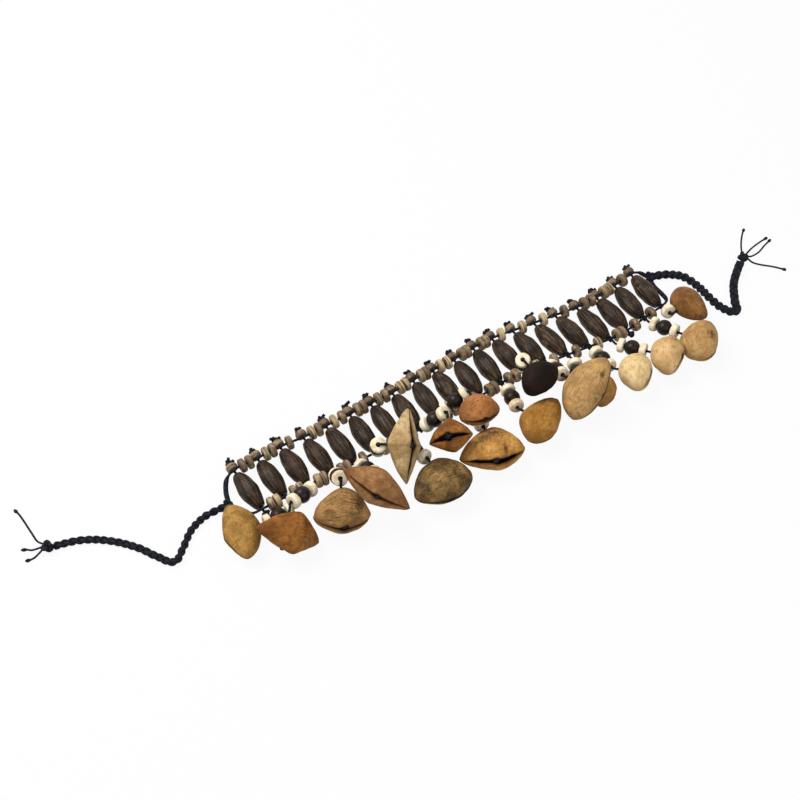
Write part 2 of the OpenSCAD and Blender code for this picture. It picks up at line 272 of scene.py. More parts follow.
class BandSizes(bpy.types.PropertyGroup):
    """Sizes of the rungs and of the discs on the band"""

    pitch: length("Rung spacing", "Spacing of the rung beads along the band", 11.6)
    rung_l: length("Rung length", "Length of a rung bead", 20)
    rung_d: length("Rung diameter", "Diameter of a rung bead at its middle", 9)
    rung_end_d: length("Rung end", "Diameter of a rung bead at its ends", 4.6)
    rail_offset: length("Rail offset", "From a rung bead's end to the rail cord's centre", 2.2)
    disc_d: length("Disc diameter", "Diameter of the discs on the rails", 6.6)
    disc_t: length("Disc thickness", "Thickness of the discs on the rails", 2.6)
    cap_d: length("Cap diameter", "Diameter of the cap disc above each rung", 5.2)
    cap_t: length("Cap thickness", "Thickness of the cap disc", 3)


class DropSizes(bpy.types.PropertyGroup):
    """Sizes of the drops and of the shells' walls"""

    disc_d: length("Disc diameter", "Diameter of the pale discs on a drop", 7)
    disc_t: length("Disc thickness", "Thickness of the pale discs on a drop", 3)
    bead_d: length("Bead diameter", "Diameter of the round bead between the pale discs", 7.6)
    wall: length("Shell wall", "Wall of a nut shell", 1.4)
    slit_w: length("Slit width", "Width of the slit at the middle of a shell", 2.4)


class CordSizes(bpy.types.PropertyGroup):
    """Sizes of the cords and knots"""

    cord_d: length("Cord diameter", "Diameter of the lacing cord", 1.2)
    bore_d: length("Bore", "Diameter of the hole through every bead", 2.2)
    knot_d: length("Knot diameter", "Diameter of a tied knot", 3.4)
    tie_d: length("Tie diameter", "Diameter of the braided ties", 3.6)
    tie_knot_d: length("Tie knot", "Diameter of the knots at the ties' ends", 6)
    braid: length("Braid length", "Length of one full round of the ties' braid", 10)
    clear: length("Clearance", "Clearance between pieces that move past each other", 0.3)
    play: length("Play", "Play between pieces threaded on one cord", 0.1)


class Finishes(bpy.types.PropertyGroup):
    """Colours of the wood, disc and cord finishes"""

    wood: colour("Rung wood", "Ground of the dark rung wood", (0.0075, 0.0045, 0.003))
    wood_brown: colour("Rung brown", "Brown veins along the rung wood", (0.048, 0.025, 0.012))
    wood_streak: colour("Rung streak", "Tan streaks along the rung wood", (0.24, 0.15, 0.07))
    husk: colour("Coconut brown", "Brown of the rail discs", (0.120, 0.066, 0.030))
    husk_pale: colour("Coconut cream", "Cream edges of the rail discs", (0.52, 0.38, 0.20))
    ivory: colour("Drop disc", "Ivory of the drop discs", (0.78, 0.70, 0.52))
    ivory_warm: colour("Drop disc tint", "Brown tint of the drop discs", (0.56, 0.40, 0.20))
    ivory_speck: colour("Drop disc speck", "Brown specks on the drop discs", (0.30, 0.19, 0.08))
    bead: colour("Drop bead", "Dark brown of the round beads", (0.012, 0.0065, 0.0045))
    cord: colour("Cord", "Black of the cords", (0.006, 0.007, 0.011))
    inside: colour("Shell inside", "Dark brown inside the shells", (0.030, 0.012, 0.005))
    char: colour("Char", "Scorched and grimy marks on the shells", (0.030, 0.022, 0.015))


class StageSizes(bpy.types.PropertyGroup):
    """Places of the camera and its aim"""

    lens: FloatProperty(name="Lens", description="Focal length in millimetres", default=55.44)
    eye: FloatVectorProperty(
        name="Camera place", description="Where the camera stands", unit="LENGTH",
        subtype="TRANSLATION", default=(-0.2055, -0.2763, 0.4652))
    target: FloatVectorProperty(
        name="Camera aim", description="The point that the camera looks at", unit="LENGTH",
        subtype="TRANSLATION", default=(-0.0261, 0.0101, 0))


def band():
    return bpy.context.scene.anklet_band


def drops():
    return bpy.context.scene.anklet_drops


def cords():
    return bpy.context.scene.anklet_cords


def finishes():
    return bpy.context.scene.anklet_finishes


# Places on the band, as the frame has them


def from_end(rows, end):
    """Rows of a route whose X is measured from an end of the band, -1 or 1, moved to that end."""
    half = RUNG_COUNT / 2 * band().pitch / MM
    return [(x + end * half, *rest) for x, *rest in rows]


def mm_points(rows):
    """Points of a route table, in metres."""
    return [Vector(row) * MM for row in rows]


def on_table(rows, diameter):
    """Points of a route that lies on the table, in metres."""
    return [Vector((x * MM, y * MM, diameter / 2)) for x, y in rows]


def rung_middle(i):
    return Vector(((i - (RUNG_COUNT - 1) / 2) * band().pitch, RUNG_Y[i] * MM, band().rung_d / 2))


def rung_along(i):
    lean = math.radians(RUNG_LEAN[i])
    return Vector((math.sin(lean), math.cos(lean), 0))


def rail_half():
    return band().rung_l / 2 + band().rail_offset


def rail_point(i, side):
    """Where a rail passes a rung: side is 1 on the upper rail and -1 on the lower."""
    lift = Vector((0, 0, cords().cord_d + cords().play))
    return rung_middle(i) + lift + side * rail_half() * rung_along(i)


def rail_along(i, side):
    after = rail_point(min(i + 1, RUNG_COUNT - 1), side)
    return (after - rail_point(max(i - 1, 0), side)).normalized()


def disc_seat(i, along):
    """Distance along a rail from a rung's axis to the nearest face of a disc beside it."""
    across = abs(along.cross(rung_along(i)).z)
    gap = band().rung_end_d / 2 + cords().clear + cords().play
    return gap / across + band().disc_d / 2 * abs(along.dot(rung_along(i)))


def aim(yaw, pitch):
    """Direction from a yaw, away from -Y towards +X, and a pitch, in degrees."""
    yaw, pitch = math.radians(yaw), math.radians(pitch)
    return Vector((
        math.sin(yaw) * math.cos(pitch), -math.cos(yaw) * math.cos(pitch), math.sin(pitch)))


def nut(k):
    """One shell's row of sizes and looks, lengths in metres."""
    row = SimpleNamespace(**dict(zip(SHELL_FIELDS, SHELLS[k])), **dict(zip(LOOK_FIELDS, LOOKS[k])))
    row.length *= MM
    row.depth *= MM
    row.thick *= MM
    row.seed = k + 1
    row.number = f"{row.seed:02d}"
    row.body = "pendant_" + row.number
    row.sideways = abs(row.drop_yaw) == 90
    row.marks = MARKS.get(row.seed, ())
    return row


def shell_turn(row):
    """Rotation that sets a shell, drawn with its back at the origin and its slit at -Y."""
    turn = Matrix.Rotation(math.radians(row.yaw), 4, "Z")
    turn @= Matrix.Rotation(math.radians(-row.pitch), 4, "X")
    return turn @ Matrix.Rotation(math.radians(row.roll), 4, "Y")


def drop_places(row):
    """Stations of one drop, from its root on the rail to the knot in its shell's slit."""
    cord, size = cords(), drops()
    turn = math.radians(row.drop_yaw)
    at = SimpleNamespace(root=rail_point(row.rung, -1), out=aim(0, row.drop_pitch))
    at.way = math.cos(turn) * at.out + Vector((math.sin(turn), 0, 0))
    at.face = aim(row.yaw, row.pitch)
    at.lead = (
        band().disc_d / 2 + cord.clear + size.bead_d / 2 * abs(math.sin(turn))
        - cord.cord_d / 2 * math.cos(turn))
    at.corner = at.root + at.lead * at.out
    beads = size.bead_d + size.disc_t + 2 * cord.play if row.beads == 3 else 0
    at.foot = at.corner + (cord.cord_d / 2 + size.disc_t + beads) * at.way
    fold = max(0, -at.way.dot(at.face))
    at.turn = at.foot + (cord.cord_d / 2 + cord.play + size.disc_d / 2 * fold) * at.way
    at.back = at.turn + (cord.clear + size.disc_d / 2 * at.way.cross(at.face).length) * at.face
    slit = math.radians(row.turn)
    front = row.depth / 2 + (row.depth - cord.knot_d) / 2 * math.cos(slit)
    rise = (row.thick - cord.knot_d) / 2 * math.sin(slit)
    at.knot = at.back + shell_turn(row).to_3x3() @ Vector((0, -front, rise))
    return at


# Mesh tools


def facing(point, direction):
    """Matrix that stands a shape's Z axis along a direction at a point."""
    return Matrix.Translation(point) @ direction.to_track_quat("Z", "X").to_matrix().to_4x4()


def smooth_route(points, step):
    """A smooth line through given points, as points about one step apart."""
    ends = [2 * points[0] - points[1], *points, 2 * points[-1] - points[-2]]
    line = []
    for before, here, after, beyond in zip(ends, ends[1:], ends[2:], ends[3:]):
        reach = (after - here).length / 3
        leave = here + (after - before).normalized() * reach
        arrive = after - (beyond - here).normalized() * reach
        count = max(2, round(3 * reach / step) + 1)
        line += geometry.interpolate_bezier(here, leave, arrive, after, count)[:-1]
    return [*line, points[-1]]


def ring_frames(route, up=None):
    """A matrix at each point of a route, Z along it; X is carried along, or kept level under up."""
    frames = []
    side = None
    for k, point in enumerate(route):
        ahead = (route[min(k + 1, len(route) - 1)] - route[max(k - 1, 0)]).normalized()
        if up is not None:
            side = ahead.cross(up)
        elif side is None:
            side = ahead.orthogonal()
        side = (side - side.dot(ahead) * ahead).normalized()
        frames.append(Matrix((side, ahead.cross(side), ahead)).transposed().to_4x4())
        frames[-1].translation = point
    return frames


def sweep(bm, route, radii, plies=2, ply_pitch=3 * MM):
    """A round cord along a route, with its ends capped and its twist kept in the lay attribute."""
    lay = bm.verts.layers.float.get("lay") or bm.verts.layers.float.new("lay")
    if not hasattr(radii, "__len__"):
        radii = [radii] * len(route)
    frames = [frame @ Matrix.Diagonal((r, r, 1, 1)) for frame, r in zip(ring_frames(route), radii)]
    made = bmesh.ops.create_circle(bm, cap_ends=True, segments=CORD_SIDES, radius=1, matrix=frames[0])
    ring = made["verts"]
    edges = list(ring[0].link_faces[0].edges)
    along = 0
    for k, here in enumerate(frames):
        if k > 0:
            made = bmesh.ops.extrude_edge_only(bm, edges=edges)["geom"]
            ring = [g for g in made if isinstance(g, bmesh.types.BMVert)]
            inside = set(ring)
            edges = [g for g in made if isinstance(g, bmesh.types.BMEdge) and inside.issuperset(g.verts)]
            bmesh.ops.transform(bm, matrix=here @ frames[k - 1].inverted(), verts=ring)
            along += (route[k] - route[k - 1]).length
        back = here.inverted()
        for vert in ring:
            local = back @ vert.co
            turn = plies * math.atan2(local.y, local.x) + 2 * math.pi * along / ply_pitch
            vert[lay] = 0.5 + 0.5 * math.cos(turn)
    bmesh.ops.contextual_create(bm, geom=edges)


def overhand(bm, middle, size, thick, turn, tails):
    """A small overhand knot with its two tails pointing along the given directions."""
    tilt = 0.4
    spin = Matrix.Rotation(turn, 3, "Z") @ Matrix.Rotation(tilt, 3, "X")
    loop = []
    steps = 26
    start = 0.3
    for k in range(steps):
        t = start + (2 * math.pi - 2 * start) * k / (steps - 1)
        point = Vector((
            math.sin(t) + 2 * math.sin(2 * t), math.cos(t) - 2 * math.cos(2 * t), -1.4 * math.sin(3 * t)))
        loop.append(middle + spin @ point * (size - thick) / 6)
    tips = [loop[0] + tails[0], *loop, loop[-1] + tails[1]]
    sweep(bm, smooth_route(tips, thick / 2), thick / 2)


def rough(bm, verts, amount, grain, seed):
    """Moves points in and out by a soft noise, as on hand-made or grown pieces."""
    bm.normal_update()
    shift = Vector((seed * 3.1, seed * 1.7, seed * 2.3))
    moves = [(v, v.normal * amount * noise.noise(v.co / grain + shift)) for v in verts]
    for vert, move in moves:
        vert.co += move


def unroll(bm, faces, girth, seed):
    """Lays a bead's faces flat on its UV map, round it along U and along it on V."""
    uv = bm.loops.layers.uv.verify()
    for face in faces:
        middle = face.calc_center_median()
        base = math.atan2(middle.y, middle.x)
        for loop in face.loops:
            turn = math.atan2(loop.vert.co.y, loop.vert.co.x) - base
            turn = (turn + math.pi) % (2 * math.pi) - math.pi
            loop[uv].uv = ((base + turn) * girth + seed * 0.05, loop.vert.co.z + seed * 0.03)


def turned(bm, profile, place, seed, segments=28, hand=0.1 * MM, flutes=0):
    """A bead turned from a closed profile of radius and height points, roughened and set in place."""
    first_vert, first_face = len(bm.verts), len(bm.faces)
    verts = [bm.verts.new((r, 0, z)) for r, z in profile]
    edges = [bm.edges.new((verts[k - 1], verts[k])) for k in range(len(verts))]
    bmesh.ops.spin(
        bm, geom=verts + edges, cent=(0, 0, 0), axis=(0, 0, 1), angle=2 * math.pi,
        steps=segments, use_merge=True)
    bm.verts.ensure_lookup_table()
    bm.faces.ensure_lookup_table()
    new = bm.verts[first_vert:]
    faces = bm.faces[first_face:]
    bmesh.ops.recalc_face_normals(bm, faces=faces)
    unroll(bm, faces, max(r for r, z in profile), seed)
    rough(bm, new, hand, BUMP_WIDE, seed)
    for vert in new:
        around = vert.co.xy.normalized() * FLUTES_ROUND
        swell = noise.noise(Vector((*around, vert.co.z / FLUTE_LENGTH + seed * 5.3)))
        vert.co.xy *= 1 + flutes * swell
    bmesh.ops.transform(bm, matrix=place, verts=new)
    return new


def disc_profile(diameter, thick, bore):
    """A flat disc with worn round edges, standing on its face."""
    edge = thick * 0.24
    rim = diameter / 2
    return (
        (bore / 2, 0.1 * edge), (rim - edge, 0), (rim - 0.3 * edge, 0.3 * edge), (rim, edge),
        (rim + 0.1 * edge, thick / 2), (rim, thick - edge), (rim - 0.3 * edge, thick - 0.3 * edge),
        (rim - edge, thick), (bore / 2, thick - 0.1 * edge))


def put(name, data):
    """Adds an object to the scene."""
    made = bpy.data.objects.new(name, data)
    bpy.context.scene.collection.objects.link(made)
    return made


def new_piece(name, bm, materials, body, nodes=(), sharp=50):
    """Turns a bmesh into a piece that rides on a body and stands for the named CAD nodes."""
    mesh = bpy.data.meshes.new(name)
    bm.to_mesh(mesh)
    bm.free()
    mesh.shade_smooth()
    mesh.set_sharp_from_angle(angle=math.radians(sharp))
    for material in materials:
        mesh.materials.append(material)
    piece = put(name, mesh)
    if body:
        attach(piece, body)
    if nodes:
        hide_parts(*nodes)
    return piece


def cord_piece(name, bm, body, nodes=()):
    """A piece of black cord."""
    return new_piece(name, bm, [black_cord()], body, nodes)


# Materials


class Patterns:
    """Adds shader nodes to one tree; every input is a value or another node's socket."""

    def __init__(self, tree):
        self.tree = tree

    def feed(self, socket, value):
        """Sets an input, or links it to another node."""
        if isinstance(value, bpy.types.NodeSocket):
            self.tree.links.new(value, socket)
        elif socket.type == "RGBA" and len(value) == 3:
            socket.default_value = (*value, 1)
        else:
            socket.default_value = value

    def add(self, kind, settings=None, **inputs):
        """Adds a node with its settings and its inputs by name."""
        made = self.tree.nodes.new("ShaderNode" + kind)
        for key, value in (settings or {}).items():
            setattr(made, key, value)
        for key, value in inputs.items():
            self.feed(made.inputs[key.replace("_", " ")], value)
        return made

    def mix(self, factor, a, b):
        """Mixes two colours, each a socket or a red, green and blue value."""
        made = self.add("Mix", {"data_type": "RGBA"})
        sockets = {socket.identifier: socket for socket in made.inputs}
        self.feed(sockets["Factor_Float"], factor)
        self.feed(sockets["A_Color"], a)
        self.feed(sockets["B_Color"], b)
        return next(socket for socket in made.outputs if socket.identifier == "Result_Color")

    def rise(self, value, low, high, top=1.0):
        """A value that rises smoothly from 0 to top as the input goes from low to high."""
        smooth = {"interpolation_type": "SMOOTHSTEP"}
        made = self.add("MapRange", smooth, Value=value, From_Min=low, From_Max=high, To_Max=top)
        return made.outputs[0]

    def maths(self, operation, a, b):
        """A sum, product or other operation on two values."""
        made = self.add("Math", {"operation": operation})
        self.feed(made.inputs[0], a)
        self.feed(made.inputs[1], b)
        return made.outputs[0]

    def grain(self, vector, scale, detail=3, stretch=(1, 1, 1), shift=(0, 0, 0), roughness=0.5):
        """A noise pattern, stretched and shifted on its coordinates."""
        placed = self.add("Mapping", Vector=vector, Scale=stretch, Location=shift).outputs[0]
        made = self.add("TexNoise", Vector=placed, Scale=scale, Detail=detail, Roughness=roughness)
        return made.outputs[0]

    def attribute(self, name):
        return self.add("Attribute", {"attribute_name": name}).outputs["Fac"]


class Finish(Patterns):
    """A surface being made: its patterns lie in place on the piece, or flat on its unrolled sheet."""

    def __init__(self, name):
        self.material = bpy.data.materials.new(name)
        self.material.use_nodes = True
        super().__init__(self.material.node_tree)
        coords = self.add("TexCoord")
        self.place, self.flat = coords.outputs["Object"], coords.outputs["UV"]

    def made(self, tint, relief, roughness, depth, specular=0.5):
        """The finished material, with its relief as a bump of the given depth."""
        bump = self.add("Bump", Distance=depth, Height=relief, Strength=1.0)
        shader = self.tree.nodes["Principled BSDF"].inputs
        self.feed(shader["Base Color"], tint)
        self.feed(shader["Roughness"], roughness)
        self.feed(shader["Specular IOR Level"], specular)
        self.feed(shader["Normal"], bump.outputs[0])
        return self.material


@functools.cache
def rung_wood():
    """Near-black oiled wood with brown veins and thin tan streaks along the bead"""
    draw, tint = Finish("rung_wood"), finishes()
    cloud = draw.grain(draw.place, 180)
    ground = draw.mix(draw.rise(cloud, 0.35, 0.65), tint.wood, Vector(tint.wood) * 2)
    vein = draw.grain(draw.flat, 1000, 5, (1, 0.07, 1), roughness=0.65)
    veined = draw.mix(draw.rise(vein, 0.48, 0.60), ground, tint.wood_brown)
    line = draw.grain(draw.flat, 2300, 3, (1, 0.045, 1))
    patch = draw.grain(draw.place, 260, 2)
    share = draw.maths("MULTIPLY", draw.rise(line, 0.53, 0.63), draw.rise(patch, 0.38, 0.60))
    shown = draw.maths("MULTIPLY", share, draw.attribute("tone"))
    streaked = draw.mix(shown, veined, tint.wood_streak)
    relief = draw.grain(draw.flat, 1300, 5, (1, 0.06, 1), roughness=0.6)
    return draw.made(streaked, relief, roughness=0.38, depth=0.35 * MM, specular=0.12)


@functools.cache
def coconut_disc():
    """Coconut shell discs from dark brown to cream, in thin layers round the rim"""
    draw, tint = Finish("coconut_disc"), finishes()
    layer = draw.grain(draw.flat, 1300, 4, (0.05, 1, 1))
    patch = draw.grain(draw.place, 420)
    plain = draw.mix(draw.attribute("tone"), tint.husk, tint.husk_pale)
    dark = draw.mix(draw.rise(layer, 0.42, 0.62), plain, Vector(tint.husk) * 0.55)
    worn = draw.mix(draw.rise(patch, 0.5, 0.75, 0.6), dark, tint.husk_pale)
    relief = draw.grain(draw.flat, 1500, 4, (0.08, 1, 1))
    return draw.made(worn, relief, roughness=0.62, depth=0.2 * MM)


@functools.cache
def ivory_disc():
    """Pale drop discs with fine specks and clouds of a brown tint"""
    draw, tint = Finish("ivory_disc"), finishes()
    cloud = draw.grain(draw.place, 260)
    speck = draw.grain(draw.place, 1600)
    warm = draw.mix(draw.rise(cloud, 0.4, 0.75), tint.ivory, tint.ivory_warm)
    specked = draw.mix(draw.rise(speck, 0.56, 0.7, 0.55), warm, tint.ivory_speck)
    relief = draw.grain(draw.place, 1400, 4)
    return draw.made(specked, relief, roughness=0.58, depth=0.18 * MM)


@functools.cache
def dark_bead():
    """Polished dark brown round beads"""
    draw, tint = Finish("dark_bead"), finishes()
    vein = draw.grain(draw.flat, 500, 4, (1, 0.25, 1))
    veined = draw.mix(draw.rise(vein, 0.5, 0.75), tint.bead, Vector(tint.bead) * 3.2)
    relief = draw.grain(draw.flat, 700, 3, (1, 0.2, 1))
    return draw.made(veined, relief, roughness=0.32, depth=0.08 * MM, specular=0.14)


@functools.cache
def black_cord():
    """Waxed black cotton of a cold tint with a twist; its raised plies are painted lighter as a painted
    highlight, and the grooves between them darker as painted shade
    """
    draw, tint = Finish("black_cord"), Vector(finishes().cord)
    fluff = draw.grain(draw.place, 2400, 2)
    lay = draw.attribute("lay")
    # Painted highlight on the raised plies and painted shade in the grooves between them, following the
    # twist
    plies = draw.mix(draw.rise(lay, 0.1, 0.9), tint * 0.4, tint * 1.8)
    fluffy = draw.mix(draw.rise(fluff, 0.55, 0.75, 0.5), plies, tint * 4)
    relief = draw.mix(0.35, lay, draw.grain(draw.place, 3000, 2))
    return draw.made(fluffy, relief, roughness=0.70, depth=0.3 * MM, specular=0.12)


@functools.cache
def shell_inside():
    """Dark rough inside of a nut shell"""
    draw, tint = Finish("shell_inside"), Vector(finishes().inside)
    cloud = draw.grain(draw.place, 400)
    clouded = draw.mix(draw.rise(cloud, 0.3, 0.7), tint * 0.5, tint)
    relief = draw.grain(draw.place, 900)
    return draw.made(clouded, relief, roughness=0.8, depth=0.3 * MM)


def nut_shell(row):
    """Outside of one nut shell: clouded colour, fibres along it, grime, char and a dark slit edge."""
    draw, deep = Finish("nut_" + row.number), Vector(row.deep)
    shift = (row.seed * 0.31, row.seed * 0.17, row.seed * 0.23)
    cloud = draw.grain(draw.place, 120, 4, shift=shift, roughness=0.6)
    ground = draw.mix(draw.rise(cloud, 0.35, 0.65), row.deep, row.colour)
    mottle = draw.grain(draw.place, 520, 4, shift=shift, roughness=0.65)
    mottled = draw.mix(draw.rise(mottle, 0.45, 0.66, 0.6), ground, deep * 0.7)
    fibre = draw.grain(draw.flat, 1700, 5, (0.08, 1, 1), shift, 0.6)
    fibres = draw.mix(draw.rise(fibre, 0.50, 0.66, row.fibre), mottled, deep * 0.45)
    speck = draw.grain(draw.place, 2100, 2, shift=shift)
    specks = draw.mix(draw.rise(speck, 0.58, 0.68, 0.5), fibres, deep * 0.4)
    smudge = draw.grain(draw.place, 170, 5, shift=shift, roughness=0.7)
    edge = 0.68 - 0.2 * row.smudge
    smudges = draw.mix(draw.rise(smudge, edge, edge + 0.1, 0.6), specks, deep * 0.35)
    ragged = draw.maths("MULTIPLY", draw.grain(draw.place, 900, 6, shift=shift, roughness=0.75), 2)
    burnt = draw.maths("ADD", draw.attribute("mark"), ragged)
    charred = draw.mix(draw.rise(burnt, 1.45, 1.95, 0.8), smudges, finishes().char)
    creased = draw.mix(draw.attribute("crease"), charred, deep * 0.4)
    worn = draw.mix(draw.maths("MULTIPLY", draw.attribute("tip"), 0.5), creased, deep * 0.6)
    edged = draw.mix(draw.attribute("lip"), worn, deep * 0.3)
    strands = draw.grain(draw.flat, 1500, 5, (0.10, 1, 1), shift)
    pits = draw.grain(draw.place, 1300, 4, shift=shift)
    relief = draw.mix(0.45, strands, pits)
    return draw.made(edged, relief, roughness=0.58, depth=0.35 * MM, specular=0.08)


# Pieces


def link_of(i):
    """Name of the link that carries a rung."""
    return next(name for name, (first, last) in LINKS.items() if first <= i <= last)


class ANKLET_OT_stage(bpy.types.Operator):
    """Sets the floor, the light and the camera"""

    bl_idname = "anklet.stage"
    bl_label = "Stage"

    def execute(self, context):
        scene = context.scene
        scene.view_settings.view_transform = "Standard"
        stage = scene.anklet_stage
        lens = bpy.data.cameras.new("camera")
        lens.lens = stage.lens
        lens.clip_start = 0.01
        camera = put("camera", lens)
        camera.location = stage.eye
        view = Vector(stage.target) - Vector(stage.eye)
        camera.rotation_euler = view.to_track_quat("-Z", "Y").to_euler()
        scene.camera = camera
        scene.world = self.sky()
        self.floor()
        for lamp in LAMPS:
            self.lamp(*lamp)
        return {"FINISHED"}

    def lamp(self, name, place, size, power):
        light = bpy.data.lights.new(name, "AREA")
        light.shape = "DISK"
        light.size = size
        light.energy = power
        lamp = put(name, light)
        lamp.location = place
        lamp.rotation_euler = (-Vector(place)).to_track_quat("-Z", "Y").to_euler()

    def seen(self, draw):
        """1 for rays that show the background to the eye, straight or in a reflection."""
        path = draw.add("LightPath").outputs
        straight = draw.maths("MAXIMUM", path["Is Camera Ray"], path["Is Glossy Ray"])
        return draw.maths("MAXIMUM", straight, path["Is Transmission Ray"])

    def floor(self):
        bm = bmesh.new()
        bmesh.ops.create_grid(bm, x_segments=1, y_segments=1, size=FLOOR_HALF)
        mesh = bpy.data.meshes.new("floor")
        bm.to_mesh(mesh)
        bm.free()
        floor = put("floor", mesh)
        white = bpy.data.materials.new("pale_floor")
        white.use_nodes = True
        draw = Patterns(white.node_tree)
        paint = draw.tree.nodes["Principled BSDF"]
        draw.feed(paint.inputs["Base Color"], FLOOR_PAINT)
        draw.feed(paint.inputs["Roughness"], 0.9)
        glow = draw.add("Emission", Color=(1, 1, 1), Strength=1.0)
        both = draw.add("MixShader", Fac=draw.maths("MULTIPLY", self.seen(draw), FLOOR_GLOW))
        draw.feed(both.inputs[1], paint.outputs[0])
        draw.feed(both.inputs[2], glow.outputs[0])
        draw.feed(draw.tree.nodes["Material Output"].inputs["Surface"], both.outputs[0])
        mesh.materials.append(white)
        self.keep_under(floor)

    def keep_under(self, floor):
        """Holds the floor below the corners of every body's box, so that no pose sinks into it."""
        boxes = {}
        for name, node in frame["nodes"].items():
            boxes.setdefault(node["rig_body"], []).extend(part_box(name))
        for body, corners in boxes.items():
            spans = [(min(values), max(values)) for values in zip(*corners)]
            for corner in itertools.product(*spans):
                mark = put("floor_mark", None)
                mark.empty_display_size = 2 * MM
                mark.location = corner
                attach(mark, body)
                hold = floor.constraints.new("FLOOR")
                hold.target = mark
                hold.floor_location = "FLOOR_NEGATIVE_Z"

    def sky(self):
        world = bpy.data.worlds.new("studio")
        world.use_nodes = True
        draw = Patterns(world.node_tree)
        sky = draw.tree.nodes["Background"]
        draw.feed(sky.inputs["Color"], (1, 1, 1))
        level = draw.add("MapRange", Value=self.seen(draw), To_Min=SKY_LIGHT, To_Max=1.0)
        draw.feed(sky.inputs["Strength"], level.outputs[0])
        return world


class ANKLET_OT_ties(bpy.types.Operator):
    """Braids the two ties, with their end knots and loose strands"""

    bl_idname = "anklet.ties"
    bl_label = "Braided ties"

    def execute(self, context):
        left = [from_end(row, -1) for row in (LEFT_TIE, *LEFT_STRANDS)]
        right = [from_end(row, 1) for row in (RIGHT_TIE, *RIGHT_STRANDS)]
        self.tie("left", "link_a", cords().tie_d * LEFT_BRAID, left[0], left[1:])
        self.tie("right", "link_g", cords().tie_d * RIGHT_BRAID, right[0], right[1:])
        return {"FINISHED"}

    def tie(self, side, body, thick, rows, strand_rows):
        size = cords()
        route = smooth_route(on_table(rows, thick), CORD_STEP)
        tie = self.braid(side + "_tie_braid", body, thick, route, side + "_tie")
        self.root(side + "_tie_root", body, thick, route)
        ahead = (route[-1] - route[-2]).normalized()
        reach = size.tie_knot_d / 2
        middle = route[-1] + ahead * reach
        middle.z = reach
        bm = bmesh.new()
        tail = 2 * MM * ahead + 1 * MM * ahead.cross(Vector((0, 0, 1)))
        overhand(bm, middle, size=size.tie_knot_d, thick=2.1 * MM, turn=0.6, tails=(-tail, tail))
        knot = cord_piece(side + "_tie_knot", bm, body)
        bm = bmesh.new()
        for row in strand_rows:
            points = on_table(row, size.cord_d)
            out = points[0] - middle
            out.z = 0
            root = middle + out.normalized() * 0.6 * reach
            line = smooth_route([root, *points], CORD_STEP)
            radii = [size.cord_d * STRAND_THICK / 2] * len(line)
            for back, swell in STRAND_TIP:
                radii[-back] *= swell
            sweep(bm, line, radii)
        strands = cord_piece(side + "_tie_strands", bm, body)

    def root(self, name, body, thick, route):
        """The knot that ties both rail cords' ends to the braid."""
        ahead = (route[1] - route[0]).normalized()
        middle = route[0] + Vector((0, 0, 0.2 * thick))
        bm = bmesh.new()
        tail = 2 * MM * ahead
        overhand(bm, middle, size=1.5 * thick, thick=0.55 * thick, turn=1.2, tails=(tail, -tail))
        cord_piece(name, bm, body)

    def braid(self, name, body, thick, route, node):
        """Three strands that pass over and under each other along a route."""
        size = cords()
        strand_d = thick * BRAID_STRAND
        wide = (thick - strand_d) * BRAID_WIDE
        high = (thick - strand_d) * BRAID_HIGH
        bm = bmesh.new()
        frames = ring_frames(route, Vector((0, 0, 1)))
        for strand in range(3):
            line = []
            along = 0
            for k, here in enumerate(frames):
                along += (route[k] - route[k - 1]).length if k else 0
                slack = 0.12 * noise.noise(Vector((along / BRAID_SLACK, 0.4, thick / MM)))
                turn = 2 * math.pi * (along / size.braid + slack + strand / 3)
                ends = min(1, 0.35 + along / BRAID_START)
                line.append(here @ Vector((
                    ends * wide * math.sin(turn), ends * high * math.sin(2 * turn), 0)))
            sweep(bm, line, strand_d / 2, plies=3, ply_pitch=4 * MM)
        return cord_piece(name, bm, body, [node])


class ANKLET_OT_rails(bpy.types.Operator):
    """Lays the two rail cords in lengths that reach across the band's hinges"""

    bl_idname = "anklet.rails"
    bl_label = "Rail cords"

    def execute(self, context):
        self.rail("top_rail_cord", 1, TOP_LEFT_END, TOP_RIGHT_END)
        self.rail("bottom_rail_cord", -1, BOTTOM_LEFT_END, BOTTOM_RIGHT_END)
        return {"FINISHED"}

    def rail(self, node, side, left_end, right_end):
        rungs = [rail_point(i, side) for i in range(RUNG_COUNT)]
        ends = mm_points(from_end(left_end, -1)), mm_points(from_end(right_end, 1))
        route = smooth_route([*ends[0], *rungs, *ends[1]], RAIL_STEP)
        names = list(LINKS)
        start = 0
        for first, second in zip(names, names[1:]):
            middle = sum(rungs[i].x for i in LINKS[second]) / 2
            stop = len(route) - 1
            if second != names[-1]:
                stop = min(range(len(route)), key=lambda k: abs(route[k].x - middle))
            bm = bmesh.new()
            stretch = route[start:stop + 1]
            sweep(bm, stretch, [self.radius(point) for point in stretch])
            piece = cord_piece(f"{node}_{first}{second}", bm, None, [node])
            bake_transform(piece)
            start = stop

    def radius(self, point):
        """Radius of a rail cord, which is doubled up where it leaves the band for a tie."""
        past = abs(point.x) - rung_middle(RUNG_COUNT - 1).x - DOUBLED_PAST
        return cords().cord_d / 2 * (1 + DOUBLED_MORE * min(1, max(0, past / DOUBLED_EASE)))


